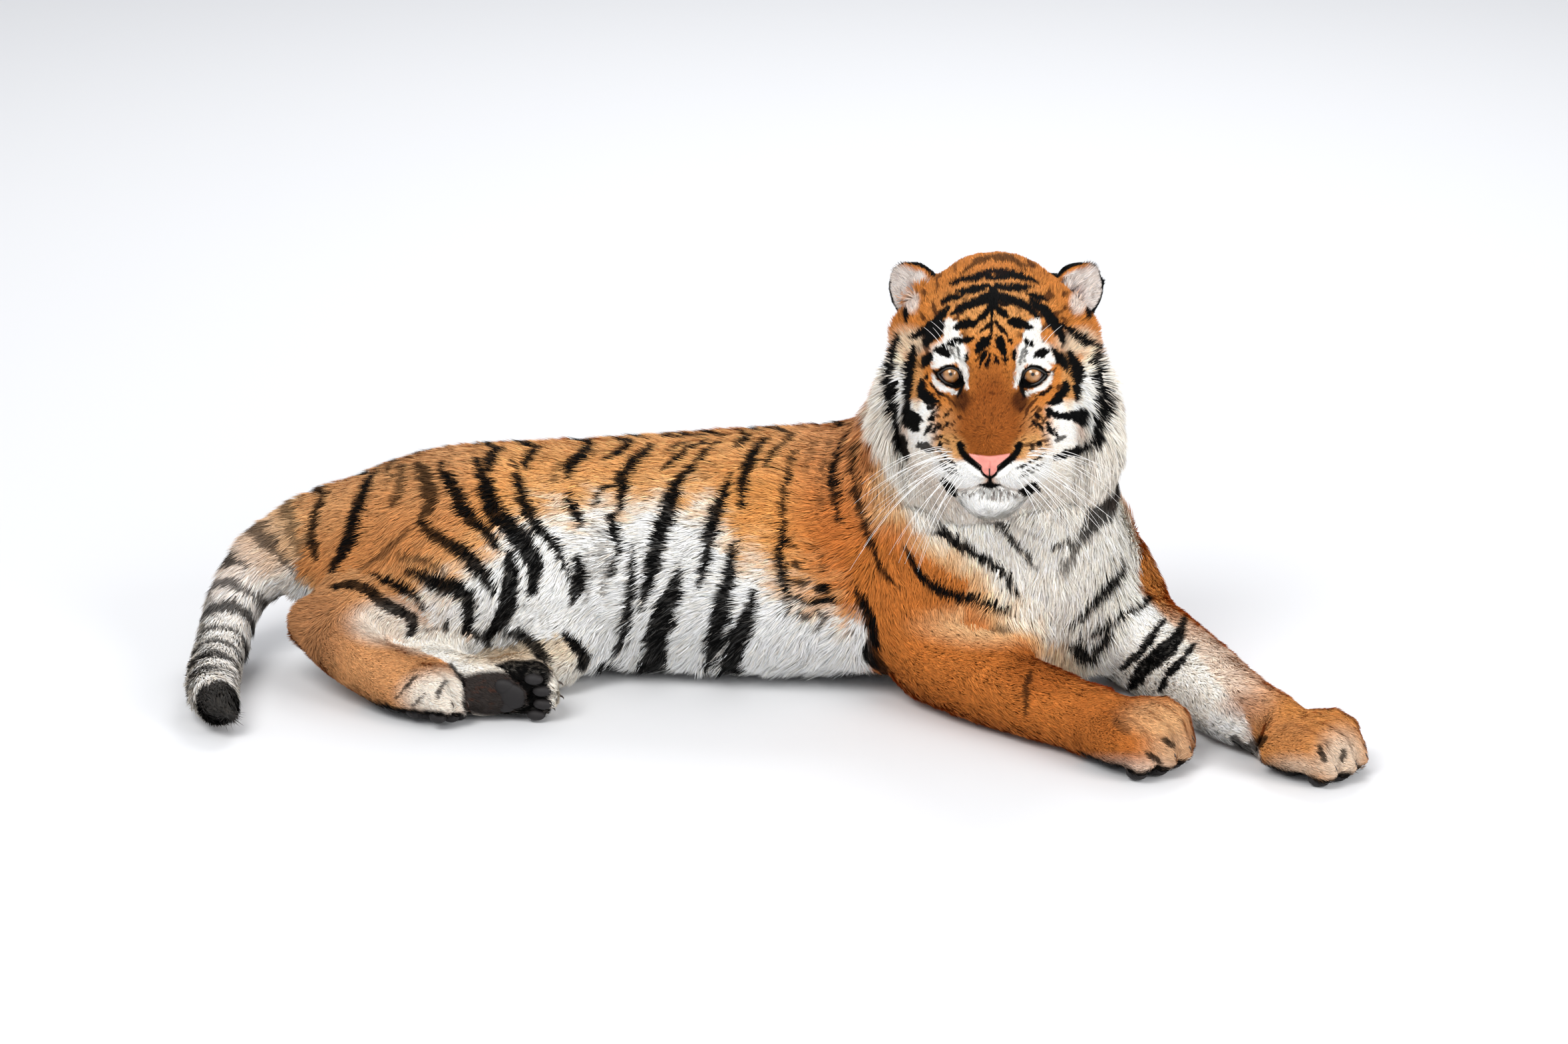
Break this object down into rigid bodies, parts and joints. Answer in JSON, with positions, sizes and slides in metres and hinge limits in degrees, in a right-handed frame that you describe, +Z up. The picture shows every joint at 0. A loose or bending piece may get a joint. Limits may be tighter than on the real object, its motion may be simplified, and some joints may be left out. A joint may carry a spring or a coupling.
{
  "type": "siberian tiger model",
  "caption": "Still, life-size model of a Siberian tiger lying on the floor with its head raised and forelegs stretched forward, for display.",
  "frame": {"origin": "middle of the model's box at floor level", "axes": "+X along the body from tail to head, -Y the side the face and the right flank are turned to, +Z up"},
  "size_m": [1.6724, 0.7418, 0.6416],
  "materials": {
    "coat": "dense winter fur, orange with black stripes over white underparts",
    "nose": "moist bare skin",
    "eye": "wet glassy cornea over an amber iris",
    "pad": "dark bare sole pad",
    "claw": "smooth horn",
    "whisker": "stiff white bristle"
  },
  "bodies": {
    "root": {"ear_left": "coat", "ear_right": "coat", "eye_left": "eye", "eye_right": "eye", "head": "coat", "jaw": "coat", "left_forearm": "coat", "left_forepaw": "coat", "left_hindpaw": "coat", "left_shank": "coat", "left_thigh": "coat", "left_upper_arm": "coat", "neck": "coat", "nose": "nose", "right_forearm": "coat", "right_forepaw": "coat", "right_hindpaw": "coat", "right_shank": "coat", "right_thigh": "coat", "right_upper_arm": "coat", "tail_base": "coat", "tail_middle": "coat", "tail_tip": "coat", "trunk": "coat"}
  },
  "joints": []
}
